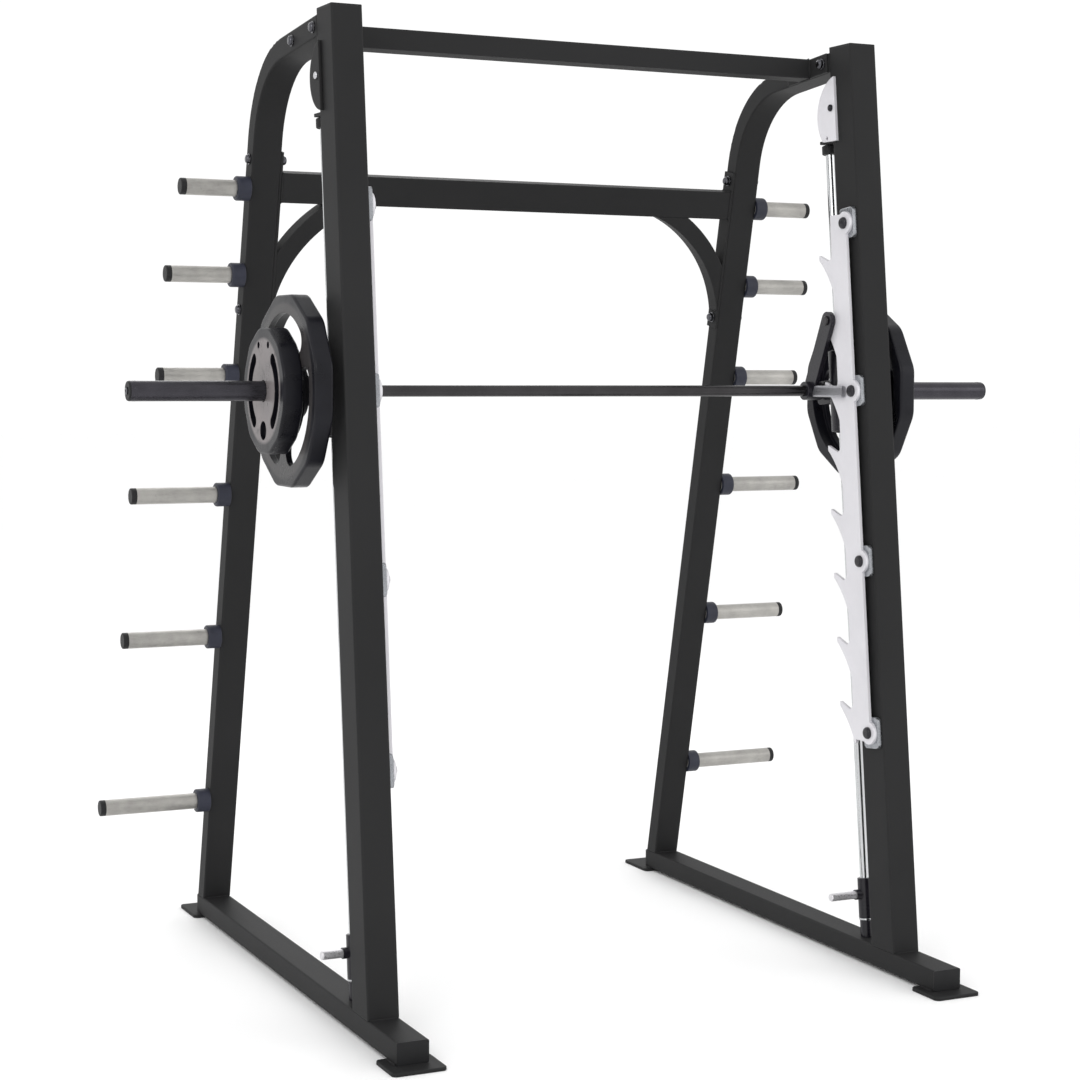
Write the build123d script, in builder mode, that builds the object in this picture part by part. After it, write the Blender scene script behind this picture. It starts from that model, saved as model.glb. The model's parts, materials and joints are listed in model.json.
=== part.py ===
# Smith machine: a barbell guided on two leaning rods in a steel frame, with hook racks,
# adjustable safety stops, storage horns and four weight plates.
# Millimetres, +Z up, +X to the machine's right, -Y towards the lifter's open side.
# The origin is on the floor at the centre of the machine's footprint.
import os
from math import acos, asin, atan, cos, degrees, radians, sin, sqrt, tan

from build123d import *

os.makedirs("parts", exist_ok=True)

# ---- frame ----
POST_IN = 660.0            # inner face of each side frame, from the centre plane
TUBE_WIDE = 76.2           # all side-frame tubes are this wide across X
POST_MID = POST_IN + TUBE_WIDE / 2
POST_OUT = POST_IN + TUBE_WIDE
WALL = 3.0
TUBE_ROUND = 4.0
FOOT_THICK = 8.0
RAIL_TOP = 58.8
RAIL_FRONT = -768.0
RAIL_REAR = 712.0
CAP_THICK = 3.0
PLUG_DEEP = 18.0
PLUG_GAP = 1.0
FOOT_FRONT = (635.0, 762.0, -818.0, -708.0)
FOOT_REAR = (640.0, 755.0, 677.0, 818.0)

LEAN = 6.243               # front posts, rods and racks lean back, degrees
LEAN_SLOPE = tan(radians(LEAN))
REAR_FACE_Y = -505.1       # rear face of the front post at the floor
POST_DEEP = 99.6           # front post depth, measured level
POST_TOP = 2337.0

REAR_LEAN = 12.41          # rear posts lean forward, degrees
REAR_SLOPE = tan(radians(REAR_LEAN))
REAR_MID_Y = 695.7         # rear post centre line at the floor
REAR_DEEP = 50.8
ARM_SLOPE = 0.084
ARM_MID_Z = 2279.8         # arm centre line at y = 0
BEND_RADIUS = 250.0

# ---- cross members ----
PLATE_THICK = 6.0
CROSS_TALL = 76.2
CROSS_DEEP = 50.8
REAR_CROSS_Z = 1967.0
TOP_CROSS_Y = -145.0
BRACE_MID_X = 306.0        # arc centre: from the centre plane, and up the rear post
BRACE_MID_UP = 1642.0
BRACE_IN_R = 355.0
BRACE_OUT_R = 401.5
FRAME_BOLT_R = 6.0
DOME_R = 11.5
DOME_TALL = 8.0
WASHER_R = 14.0
WASHER_THICK = 2.5
HOLE_GAP = 0.3
TOP_BOLT_Y = (-228.0, -80.0)
REAR_BOLT_Z = (1655.0, 2032.0)

# ---- guide rods ----
ROD_BACK = 76.0            # rod axis behind the front post's rear face
ROD_R = 11.0
RUN_GAP = 0.08
ROD_MOUNT_Z = 2096.0
ROD_MOUNT_THICK = 8.0
ROD_MOUNT_HALF = 20.0      # half width across X
ROD_MOUNT_PAST = 14.0      # how far it runs behind the rod axis
BUMPER_TALL = 26.0
ROD_FOOT_TOP = 100.0

# ---- hook racks ----
RACK_IN = 641.0
RACK_THICK = 8.0
RACK_EDGE = -68.0          # front edge, from the post's rear face
RACK_NECK = 2.0            # narrow rear edge
RACK_TOP = 1905.0
RACK_LOW = 575.0
CUP_TOP_Z = 1789.0
CUP_PITCH = 163.0
CUP_COUNT = 8
RACK_BOLT_Z = (1882.8, 1456.7, 1028.1, 599.0)
RACK_BOLT_BACK = -60.0
RACK_TAB_R = 29.0
RACK_BOLT_R = 8.0
RACK_HEAD_R = 15.0
LUG_LONG = 62.0
LUG_TALL = 78.0
LUG_ROUND = 12.0

# ---- gussets at the top of the front posts; backs are from the post's rear face ----
GUSSET_THICK = 8.0
GUSSET_EDGE = -27.0
GUSSET_TOP = 2262.0
GUSSET_MID_Z = 2182.0
GUSSET_LOW = 2097.0
GUSSET_BULGE = 53.0
GUSSET_TOE = 36.0
GUSSET_BOLT_BACK = -9.0
GUSSET_HOLE_BACK = 15.0
GUSSET_HOLE_Z = 2105.0
GUSSET_HOLE_R = 5.0
GUSSET_HEAD_R = 9.0
GUSSET_HEAD_TALL = 6.0
OUTER_GUSSET_LOW = 2100.0
OUTER_GUSSET_BULGE = 38.0

# ---- barbell ----
BAR_BACK = 124.0           # bar axis behind the front post's rear face
BAR_Z = 1454.4
BAR_R = 14.0
BAR_END = 1172.0
SLEEVE_R = 23.5
SLEEVE_START = 762.3
FLANGE_START = 745.0
FLANGE_R = 36.0
SEAT_GAP = 0.1             # gap around a fixed ring on the bar
HUB_R = 24.0
HUB_IN = 614.0
HUB_OUT = 664.0
ARM_IN = 627.0
ARM_THICK = 12.0
CATCH_WIDE = 46.0
PIN_R = 8.0
PIN_BACK = 20.0
PIN_Z = 1635.5
FORWARD_REACH = 158.0
FORWARD_TALL = 30.0
FORWARD_ROUND = 5.5

# ---- carriages ----
HOUSING_R = 29.0
HOUSING_HALF = 105.0
BLOCK_HALF_WIDE = 26.0
BLOCK_HALF_TALL = 30.0
BLOCK_REAR = 27.0          # block behind the bar axis

# ---- safety stops ----
STOP_R = 18.0
STOP_LOW = 106.0
STOP_TOP = 207.0
PEG_Z = 166.0
PEG_R = 10.0
PEG_ROUND = 5.0
PEG_BOSS_R = 13.0
PEG_BOSS_LONG = 12.0
PEG_TIP_RIGHT = 592.0
PEG_TIP_LEFT = -780.0

# ---- storage horns: height and outer end from the centre plane ----
HORNS = ((1958, 915), (1742, 940), (1485, 945), (1175, 997), (793, 997), (337.5, 1033))
HORN_R = 21.0
HORN_SPIGOT_R = 20.0       # turned down where the collar sits
HORN_COLLAR_R = 31.0
HORN_COLLAR_LONG = 35.0
HORN_CAP_LONG = 14.0
HORN_FORWARD = 8.0

# ---- weight plates ----
LARGE_R = 223.5
LARGE_IN = 762.6
LARGE_THICK = 44.0
SMALL_R = 146.5
SMALL_IN = 807.0
SMALL_THICK = 48.0
PLATE_BORE_R = 25.2


def behind_post(back, z):
    """Y of a point a level distance behind the front post's rear face."""
    return REAR_FACE_Y + LEAN_SLOPE * z + back


def rear_post_y(z):
    """Y of the rear post's centre line at height z."""
    return REAR_MID_Y - REAR_SLOPE * z


def arm_z(y):
    """Height of the top arm's centre line."""
    return ARM_MID_Z - ARM_SLOPE * y


def save(part, name):
    part.label = name
    export_step(part, f"parts/{name}.step")


def save_pair(part, name):
    """Save a right-hand piece and its left-hand mirror image."""
    save(mirror(part, about=Plane.YZ), f"{name}_left")
    save(part, f"{name}_right")


def with_mirror(part):
    """One node that holds the right-hand pieces and their mirror images."""
    pieces = list(part.solids()) + list(mirror(part, about=Plane.YZ).solids())
    return Part(Compound(pieces).wrapped)


def pegs_across(points, start, length, radius, mode=Mode.ADD):
    """Cylinders along X in the part being built, from start, through each (y, z) point."""
    with Locations(*[Location((start, y, z), (0, 90, 0)) for y, z in points]):
        Cylinder(radius, length, align=(Align.CENTER, Align.CENTER, Align.MIN), mode=mode)


def holes_across(points, start, length, radius):
    """Holes along X in the part being built, through each (y, z) point."""
    pegs_across(points, start, length, radius, Mode.SUBTRACT)


top_bolt_points = [(y, arm_z(y)) for y in TOP_BOLT_Y]
rear_bolt_points = [(rear_post_y(z), z) for z in REAR_BOLT_Z]
rack_bolt_points = [(behind_post(RACK_BOLT_BACK, z), z) for z in RACK_BOLT_Z]
bar_point = (behind_post(BAR_BACK, BAR_Z), BAR_Z)
pin_point = (behind_post(PIN_BACK, PIN_Z), PIN_Z)

# planes that follow the leaning tubes
lean_up = (0, sin(radians(LEAN)), cos(radians(LEAN)))


def rod_plane(z):
    """Plane square to the right-hand rod, centred on its axis at height z."""
    return Plane(origin=(POST_MID, behind_post(ROD_BACK, z), z), x_dir=(1, 0, 0), z_dir=lean_up)


# in this plane X runs across the machine and Y runs up the rear posts from the floor
rear_plane = Plane(
    origin=(0, REAR_MID_Y, 0),
    x_dir=(1, 0, 0),
    z_dir=(0, -cos(radians(REAR_LEAN)), -sin(radians(REAR_LEAN))),
)


def up_rear(z):
    """Distance up the rear post of a point at height z."""
    return z / cos(radians(REAR_LEAN))


arm_angle = atan(ARM_SLOPE)
# in this plane X runs across the machine and Y runs back along the top arms
arm_plane = Plane(
    origin=(0, TOP_CROSS_Y, arm_z(TOP_CROSS_Y)),
    x_dir=(1, 0, 0),
    z_dir=(0, sin(arm_angle), cos(arm_angle)),
)


# ---- base ----
with BuildPart() as base_rail:
    with BuildSketch(Plane.XZ.offset(-RAIL_REAR)):
        with Locations((POST_MID, (FOOT_THICK + RAIL_TOP) / 2)):
            RectangleRounded(TUBE_WIDE, RAIL_TOP - FOOT_THICK, TUBE_ROUND)
            RectangleRounded(
                TUBE_WIDE - 2 * WALL,
                RAIL_TOP - FOOT_THICK - 2 * WALL,
                TUBE_ROUND / 2,
                mode=Mode.SUBTRACT,
            )
    extrude(amount=RAIL_REAR - RAIL_FRONT)
save_pair(base_rail.part, "base_rail")

with BuildPart() as rail_caps:
    for y, inward in ((RAIL_FRONT, 1), (RAIL_REAR, -1)):
        with BuildSketch(Plane.XZ.offset(-y)):
            with Locations((POST_MID, (FOOT_THICK + RAIL_TOP) / 2)):
                RectangleRounded(TUBE_WIDE, RAIL_TOP - FOOT_THICK, TUBE_ROUND)
        extrude(amount=inward * CAP_THICK)
        with BuildSketch(Plane.XZ.offset(-y)):
            with Locations((POST_MID, (FOOT_THICK + RAIL_TOP) / 2)):
                Rectangle(
                    TUBE_WIDE - 2 * WALL - 2 * PLUG_GAP,
                    RAIL_TOP - FOOT_THICK - 2 * WALL - 2 * PLUG_GAP,
                )
        extrude(amount=-inward * PLUG_DEEP)
save(with_mirror(rail_caps.part), "rail_end_caps")


def foot_plate(corners):
    """Flat foot under one end of a rail."""
    x0, x1, y0, y1 = corners
    with BuildPart() as plate:
        with BuildSketch():
            with Locations(((x0 + x1) / 2, (y0 + y1) / 2)):
                RectangleRounded(x1 - x0, y1 - y0, 12)
        extrude(amount=FOOT_THICK)
        chamfer(plate.faces().sort_by(Axis.Z)[-1].edges(), 1)
    return plate.part


save(with_mirror(foot_plate(FOOT_FRONT)), "foot_plates_front")
save(with_mirror(foot_plate(FOOT_REAR)), "foot_plates_rear")

# ---- front posts ----
with BuildPart() as front_post:
    with BuildSketch(Plane.YZ.offset(POST_IN)):
        with BuildLine():
            Polyline(
                (behind_post(-POST_DEEP, RAIL_TOP), RAIL_TOP),
                (behind_post(0, RAIL_TOP), RAIL_TOP),
                (behind_post(0, POST_TOP), POST_TOP),
                (behind_post(-POST_DEEP, POST_TOP), POST_TOP),
                close=True,
            )
        make_face()
    extrude(amount=TUBE_WIDE)
    fillet(front_post.edges().filter_by(lambda e: e.length > 2000), TUBE_ROUND)
    with BuildSketch(Plane.YZ.offset(POST_IN + WALL)):
        with BuildLine():
            Polyline(
                (behind_post(WALL - POST_DEEP, RAIL_TOP), RAIL_TOP),
                (behind_post(-WALL, RAIL_TOP), RAIL_TOP),
                (behind_post(-WALL, POST_TOP), POST_TOP),
                (behind_post(WALL - POST_DEEP, POST_TOP), POST_TOP),
                close=True,
            )
        make_face()
    extrude(amount=TUBE_WIDE - 2 * WALL, mode=Mode.SUBTRACT)
    holes_across(rack_bolt_points, POST_IN, WALL * 2, RACK_BOLT_R + HOLE_GAP)
save_pair(front_post.part, "front_post")

with BuildPart() as post_caps:
    cap_mid_y = behind_post(-POST_DEEP / 2, POST_TOP)
    with BuildSketch(Plane.XY.offset(POST_TOP)):
        with Locations((POST_MID, cap_mid_y)):
            RectangleRounded(TUBE_WIDE, POST_DEEP, TUBE_ROUND)
    extrude(amount=CAP_THICK)
    fillet(post_caps.faces().sort_by(Axis.Z)[-1].edges(), 1.5)
    with BuildSketch(Plane.XY.offset(POST_TOP)):
        with Locations((POST_MID, cap_mid_y)):
            Rectangle(TUBE_WIDE - 2 * WALL - 8, POST_DEEP - 2 * WALL - 8)
    extrude(amount=-PLUG_DEEP)
save(with_mirror(post_caps.part), "front_post_caps")

# ---- rear posts: one bent tube makes the top arm, the bend and the leaning post ----
arm_start_y = -300.0
meet_y = (REAR_MID_Y - REAR_SLOPE * ARM_MID_Z) / (1 - REAR_SLOPE * ARM_SLOPE)
with BuildPart() as rear_post:
    with BuildLine(Plane.YZ.offset(POST_MID)) as rear_path:
        FilletPolyline(
            (arm_start_y, arm_z(arm_start_y)),
            (meet_y, arm_z(meet_y)),
            (rear_post_y(0), 0),
            radius=BEND_RADIUS,
        )
    start_plane = Plane(
        origin=rear_path.line @ 0, x_dir=(1, 0, 0), z_dir=rear_path.line % 0
    )
    with BuildSketch(start_plane):
        RectangleRounded(TUBE_WIDE, REAR_DEEP, TUBE_ROUND)
        RectangleRounded(
            TUBE_WIDE - 2 * WALL, REAR_DEEP - 2 * WALL, TUBE_ROUND / 2, mode=Mode.SUBTRACT
        )
    sweep(path=rear_path.line)
    with BuildSketch(Plane.YZ.offset(POST_IN - 1)):
        with BuildLine():
            Polyline(
                (-400, 2150),
                (behind_post(0, 2150), 2150),
                (behind_post(0, 2450), 2450),
                (-400, 2450),
                close=True,
            )
        make_face()
        with Locations((REAR_MID_Y, RAIL_TOP / 2 - 50)):
            Rectangle(200, RAIL_TOP + 100)
    extrude(amount=TUBE_WIDE + 2, mode=Mode.SUBTRACT)
    holes_across(
        top_bolt_points + rear_bolt_points, POST_IN - 1, TUBE_WIDE + 2, FRAME_BOLT_R + HOLE_GAP
    )
save_pair(rear_post.part, "rear_post")

# ---- cross members ----
cross_half = POST_IN - PLATE_THICK
rear_cross_up = up_rear(REAR_CROSS_Z)
with BuildPart() as rear_crossbar:
    with BuildSketch(Plane.YZ.offset(-cross_half)):
        with Locations(Location((rear_post_y(REAR_CROSS_Z), REAR_CROSS_Z, 0), (0, 0, REAR_LEAN))):
            RectangleRounded(CROSS_DEEP, CROSS_TALL, TUBE_ROUND)
            RectangleRounded(
                CROSS_DEEP - 2 * WALL, CROSS_TALL - 2 * WALL, TUBE_ROUND / 2, mode=Mode.SUBTRACT
            )
    extrude(amount=2 * cross_half)
save(rear_crossbar.part, "rear_crossbar")

with BuildPart() as rear_cross_plates:
    plate_low = up_rear(REAR_BOLT_Z[0]) - 28
    plate_high = up_rear(REAR_BOLT_Z[1]) + 24
    with BuildSketch(rear_plane.offset(-REAR_DEEP / 2 + 1)):
        with Locations((cross_half + PLATE_THICK / 2, (plate_low + plate_high) / 2)):
            Rectangle(PLATE_THICK, plate_high - plate_low)
    extrude(amount=REAR_DEEP - 2)
    holes_across(rear_bolt_points, cross_half, PLATE_THICK, FRAME_BOLT_R + HOLE_GAP)
save(with_mirror(rear_cross_plates.part), "rear_crossbar_end_plates")

with BuildPart() as top_crossbar:
    with BuildSketch(Plane.YZ.offset(-cross_half)):
        with Locations(
            Location((TOP_CROSS_Y, arm_z(TOP_CROSS_Y), 0), (0, 0, -degrees(arm_angle)))
        ):
            RectangleRounded(CROSS_DEEP, CROSS_DEEP, TUBE_ROUND)
            RectangleRounded(
                CROSS_DEEP - 2 * WALL, CROSS_DEEP - 2 * WALL, TUBE_ROUND / 2, mode=Mode.SUBTRACT
            )
    extrude(amount=2 * cross_half)
save(top_crossbar.part, "top_crossbar")

with BuildPart() as top_cross_plates:
    top_plate_long = TOP_BOLT_Y[1] - TOP_BOLT_Y[0] + 2 * 21
    top_plate_mid = (TOP_BOLT_Y[0] + TOP_BOLT_Y[1]) / 2 - TOP_CROSS_Y
    with BuildSketch(arm_plane.offset(-REAR_DEEP / 2 + 1)):
        with Locations((cross_half + PLATE_THICK / 2, top_plate_mid)):
            Rectangle(PLATE_THICK, top_plate_long)
    extrude(amount=REAR_DEEP - 2)
    holes_across(top_bolt_points, cross_half, PLATE_THICK, FRAME_BOLT_R + HOLE_GAP)
save(with_mirror(top_cross_plates.part), "top_crossbar_end_plates")

# ---- arched braces in the plane of the rear posts ----
cross_under = rear_cross_up - CROSS_TALL / 2


def on_brace(radius, angle):
    """Point on an arc of the brace, angle up from level."""
    return (
        BRACE_MID_X + radius * cos(radians(angle)),
        BRACE_MID_UP + radius * sin(radians(angle)),
    )


def brace_angle_at_plate(radius):
    """Angle at which an arc of the brace meets the end plate."""
    return degrees(acos((cross_half - BRACE_MID_X) / radius))


def brace_angle_at_bar(radius):
    """Angle at which an arc of the brace meets the crossbar."""
    return degrees(asin((cross_under - BRACE_MID_UP) / radius))


outer_low = brace_angle_at_plate(BRACE_OUT_R)
outer_high = brace_angle_at_bar(BRACE_OUT_R)
inner_low = brace_angle_at_plate(BRACE_IN_R)
inner_high = brace_angle_at_bar(BRACE_IN_R)
with BuildPart() as brace:
    with BuildSketch(rear_plane.offset(-CROSS_DEEP / 2 + 2)):
        with BuildLine():
            ThreePointArc(
                on_brace(BRACE_OUT_R, outer_low),
                on_brace(BRACE_OUT_R, (outer_low + outer_high) / 2),
                on_brace(BRACE_OUT_R, outer_high),
            )
            Line(on_brace(BRACE_OUT_R, outer_high), on_brace(BRACE_IN_R, inner_high))
            ThreePointArc(
                on_brace(BRACE_IN_R, inner_high),
                on_brace(BRACE_IN_R, (inner_low + inner_high) / 2),
                on_brace(BRACE_IN_R, inner_low),
            )
            Line(on_brace(BRACE_IN_R, inner_low), on_brace(BRACE_OUT_R, outer_low))
        make_face()
    extrude(amount=CROSS_DEEP - 4)
save_pair(brace.part, "brace")

# ---- frame bolts and cap nuts ----
frame_bolt_points = top_bolt_points + rear_bolt_points
with BuildPart() as frame_bolts:
    pegs_across(frame_bolt_points, POST_OUT, WASHER_THICK, WASHER_R)
    pegs_across(frame_bolt_points, POST_OUT + WASHER_THICK, DOME_TALL, DOME_R)
    fillet(frame_bolts.faces().sort_by(Axis.X)[-4:].edges(), DOME_TALL - 2)
    pegs_across(frame_bolt_points, cross_half - DOME_TALL, POST_OUT - cross_half + DOME_TALL, FRAME_BOLT_R)
save(with_mirror(frame_bolts.part), "frame_bolts")

with BuildPart() as frame_nuts:
    nut_long = WASHER_THICK + DOME_TALL + 4
    pegs_across(frame_bolt_points, cross_half - WASHER_THICK, WASHER_THICK, WASHER_R)
    pegs_across(frame_bolt_points, cross_half - nut_long, nut_long, DOME_R)
    fillet(frame_nuts.faces().sort_by(Axis.X)[:4].edges(), DOME_TALL - 2)
    holes_across(frame_bolt_points, cross_half - DOME_TALL, DOME_TALL, FRAME_BOLT_R + SEAT_GAP)
save(with_mirror(frame_nuts.part), "frame_nuts")

# ---- guide rods and their mounts ----
rod_bottom_y = behind_post(ROD_BACK, RAIL_TOP)
with BuildPart() as guide_rod:
    with BuildSketch(rod_plane(RAIL_TOP - 5)):
        Circle(ROD_R)
    extrude(amount=2200)
    with BuildSketch(Plane.XY.offset(RAIL_TOP - 20)):
        with Locations((POST_MID, rod_bottom_y)):
            Rectangle(60, 100)
    extrude(amount=20, mode=Mode.SUBTRACT)
    with BuildSketch(Plane.XY.offset(ROD_MOUNT_Z + ROD_MOUNT_THICK)):
        with Locations((POST_MID, behind_post(ROD_BACK, ROD_MOUNT_Z))):
            Rectangle(60, 200)
    extrude(amount=300, mode=Mode.SUBTRACT)
save_pair(guide_rod.part, "guide_rod")

with BuildPart() as rod_feet:
    with BuildSketch(rod_plane(RAIL_TOP - 5)):
        Circle(STOP_R - 2)
    extrude(amount=(ROD_FOOT_TOP - RAIL_TOP) / cos(radians(LEAN)) + 5)
    with BuildSketch(rod_plane(RAIL_TOP - 5)):
        Circle(ROD_R + SEAT_GAP)
    extrude(amount=100, mode=Mode.SUBTRACT)
    with BuildSketch(Plane.XY.offset(RAIL_TOP - 20)):
        with Locations((POST_MID, rod_bottom_y)):
            Rectangle(60, 100)
    extrude(amount=20, mode=Mode.SUBTRACT)
save(with_mirror(rod_feet.part), "rod_feet")

with BuildPart() as rod_mounts:
    mount_high = ROD_MOUNT_Z + ROD_MOUNT_THICK
    mount_back = ROD_BACK + ROD_MOUNT_PAST
    with BuildSketch(Plane.YZ.offset(POST_MID - ROD_MOUNT_HALF)):
        with BuildLine():
            Polyline(
                (behind_post(0, ROD_MOUNT_Z), ROD_MOUNT_Z),
                (behind_post(mount_back, ROD_MOUNT_Z), ROD_MOUNT_Z),
                (behind_post(mount_back, mount_high), mount_high),
                (behind_post(0, mount_high), mount_high),
                close=True,
            )
        make_face()
    extrude(amount=2 * ROD_MOUNT_HALF)
    with BuildSketch(rod_plane(ROD_MOUNT_Z - 40)):
        Circle(ROD_R + SEAT_GAP)
    extrude(amount=80, mode=Mode.SUBTRACT)
save(with_mirror(rod_mounts.part), "rod_top_mounts")

bumper_low = ROD_MOUNT_Z - BUMPER_TALL
with BuildPart() as rod_bumpers:
    with BuildSketch(rod_plane(bumper_low)):
        Circle(STOP_R + 2)
        Circle(ROD_R + SEAT_GAP, mode=Mode.SUBTRACT)
    extrude(amount=BUMPER_TALL / cos(radians(LEAN)) - 3)
    fillet(rod_bumpers.edges().filter_by(GeomType.CIRCLE).sort_by(SortBy.RADIUS)[-2:], 3)
save(with_mirror(rod_bumpers.part), "rod_bumpers")

# ---- gussets on the inner and outer faces of the front posts, under the top arms ----
gusset_bolt_point = (behind_post(GUSSET_BOLT_BACK, GUSSET_MID_Z), GUSSET_MID_Z)
gusset_hole_point = (behind_post(GUSSET_HOLE_BACK, GUSSET_HOLE_Z), GUSSET_HOLE_Z)
with BuildPart() as gusset:
    with BuildSketch(Plane.YZ.offset(POST_IN - GUSSET_THICK)):
        with BuildLine():
            ThreePointArc(
                (behind_post(GUSSET_EDGE, GUSSET_TOP), GUSSET_TOP),
                (behind_post(GUSSET_BULGE, GUSSET_MID_Z), GUSSET_MID_Z),
                (behind_post(GUSSET_TOE, GUSSET_LOW), GUSSET_LOW),
            )
            Polyline(
                (behind_post(GUSSET_TOE, GUSSET_LOW), GUSSET_LOW),
                (behind_post(GUSSET_EDGE, GUSSET_LOW), GUSSET_LOW),
                (behind_post(GUSSET_EDGE, GUSSET_TOP), GUSSET_TOP),
            )
        make_face()
    extrude(amount=GUSSET_THICK)
    holes_across([gusset_bolt_point], POST_IN - 9, 10, FRAME_BOLT_R + HOLE_GAP)
    holes_across([gusset_hole_point], POST_IN - 9, 10, GUSSET_HOLE_R)
save_pair(gusset.part, "gusset_plate")

with BuildPart() as outer_gusset:
    with BuildSketch(Plane.YZ.offset(POST_OUT)):
        with BuildLine():
            ThreePointArc(
                (behind_post(GUSSET_EDGE, GUSSET_TOP), GUSSET_TOP),
                (behind_post(OUTER_GUSSET_BULGE, GUSSET_MID_Z), GUSSET_MID_Z),
                (behind_post(GUSSET_EDGE, OUTER_GUSSET_LOW), OUTER_GUSSET_LOW),
            )
            Line(
                (behind_post(GUSSET_EDGE, OUTER_GUSSET_LOW), OUTER_GUSSET_LOW),
                (behind_post(GUSSET_EDGE, GUSSET_TOP), GUSSET_TOP),
            )
        make_face()
    extrude(amount=GUSSET_THICK)
    holes_across([gusset_bolt_point], POST_OUT - 1, GUSSET_THICK + 2, FRAME_BOLT_R + HOLE_GAP)
save_pair(outer_gusset.part, "outer_gusset")

gusset_head_in = POST_IN - GUSSET_THICK - GUSSET_HEAD_TALL
gusset_head_out = POST_OUT + GUSSET_THICK
with BuildPart() as gusset_bolts:
    pegs_across([gusset_bolt_point], gusset_head_in, GUSSET_HEAD_TALL, GUSSET_HEAD_R)
    fillet(gusset_bolts.faces().sort_by(Axis.X)[:1].edges(), 4)
    pegs_across([gusset_bolt_point], POST_IN - GUSSET_THICK, GUSSET_THICK, FRAME_BOLT_R)
    pegs_across([gusset_bolt_point], gusset_head_out, GUSSET_HEAD_TALL, GUSSET_HEAD_R)
    fillet(gusset_bolts.faces().sort_by(Axis.X)[-1:].edges(), 4)
    pegs_across([gusset_bolt_point], POST_OUT, GUSSET_THICK, FRAME_BOLT_R)
save(with_mirror(gusset_bolts.part), "gusset_bolts")


# ---- hook racks ----
def rack_point(back, above, cup_z):
    """(y, z) of a point set out from the lowest point of one cup."""
    z = cup_z + above
    return (behind_post(back, z), z)


with BuildPart() as rack_plate:
    with BuildSketch(Plane.YZ.offset(RACK_IN)):
        with BuildLine():
            Polyline(
                (behind_post(RACK_EDGE, RACK_LOW), RACK_LOW),
                (behind_post(RACK_NECK, RACK_LOW), RACK_LOW),
                (behind_post(RACK_NECK, RACK_TOP), RACK_TOP),
                (behind_post(RACK_EDGE, RACK_TOP), RACK_TOP),
                close=True,
            )
        make_face()
        with Locations(*rack_bolt_points):
            Circle(RACK_TAB_R)
        for i in range(CUP_COUNT):
            cup_z = CUP_TOP_Z - i * CUP_PITCH
            with BuildLine():
                Line(rack_point(-4, 18, cup_z), rack_point(2.5, 18, cup_z))
                ThreePointArc(
                    rack_point(2.5, 18, cup_z),
                    rack_point(7.6, 5.2, cup_z),
                    rack_point(20, 0, cup_z),
                )
                Line(rack_point(20, 0, cup_z), rack_point(60, 14.5, cup_z))
                Line(rack_point(60, 14.5, cup_z), rack_point(62, 12, cup_z))
                Line(rack_point(62, 12, cup_z), rack_point(62, 2, cup_z))
                ThreePointArc(
                    rack_point(62, 2, cup_z),
                    rack_point(26, -38, cup_z),
                    rack_point(2, -82, cup_z),
                )
                Line(rack_point(2, -82, cup_z), rack_point(-4, -82, cup_z))
                Line(rack_point(-4, -82, cup_z), rack_point(-4, 18, cup_z))
            make_face()
        with Locations(*rack_bolt_points):
            Circle(RACK_BOLT_R + HOLE_GAP, mode=Mode.SUBTRACT)
    extrude(amount=RACK_THICK)
save_pair(rack_plate.part, "rack_plate")

rack_out = RACK_IN + RACK_THICK
with BuildPart() as rack_lugs:
    for y, z in rack_bolt_points:
        with BuildSketch(Plane.YZ.offset(rack_out)):
            with Locations(Location((y - 1, z, 0), (0, 0, -LEAN))):
                RectangleRounded(LUG_LONG, LUG_TALL, LUG_ROUND)
        extrude(amount=POST_IN - rack_out)
    holes_across(rack_bolt_points, rack_out, POST_IN - rack_out, RACK_BOLT_R + HOLE_GAP)
save(with_mirror(rack_lugs.part), "rack_lugs")

with BuildPart() as rack_bolts:
    pegs_across(rack_bolt_points, RACK_IN - 8.5, 8.5, RACK_HEAD_R)
    fillet(rack_bolts.faces().sort_by(Axis.X)[:4].edges(), 6)
    pegs_across(rack_bolt_points, RACK_IN, POST_IN + WALL + 6 - RACK_IN, RACK_BOLT_R)
save(with_mirror(rack_bolts.part), "rack_bolts")

# ---- storage horns ----
horn_points = [(rear_post_y(z) - HORN_FORWARD, z, reach) for z, reach in HORNS]
with BuildPart() as horns:
    for y, z, reach in horn_points:
        with BuildSketch(Plane.YZ.offset(POST_OUT)):
            with Locations((y, z)):
                Circle(HORN_R)
                Circle(HORN_R - WALL, mode=Mode.SUBTRACT)
        extrude(amount=reach - HORN_CAP_LONG - POST_OUT)
        with BuildSketch(Plane.YZ.offset(POST_OUT)):
            with Locations((y, z)):
                Circle(HORN_R + 1)
                Circle(HORN_SPIGOT_R, mode=Mode.SUBTRACT)
        extrude(amount=HORN_COLLAR_LONG, mode=Mode.SUBTRACT)
save_pair(horns.part, "storage_horns")

with BuildPart() as horn_collars:
    for y, z, reach in horn_points:
        with BuildSketch(Plane.YZ.offset(POST_OUT)):
            with Locations((y, z)):
                Circle(HORN_COLLAR_R)
                Circle(HORN_SPIGOT_R + SEAT_GAP, mode=Mode.SUBTRACT)
        extrude(amount=HORN_COLLAR_LONG)
    outer_rims = horn_collars.edges().filter_by(GeomType.CIRCLE).filter_by(
        lambda e: e.radius > HORN_R + 5 and e.center().X > POST_OUT + 1
    )
    fillet(outer_rims, 4)
save(with_mirror(horn_collars.part), "horn_collars")

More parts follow.
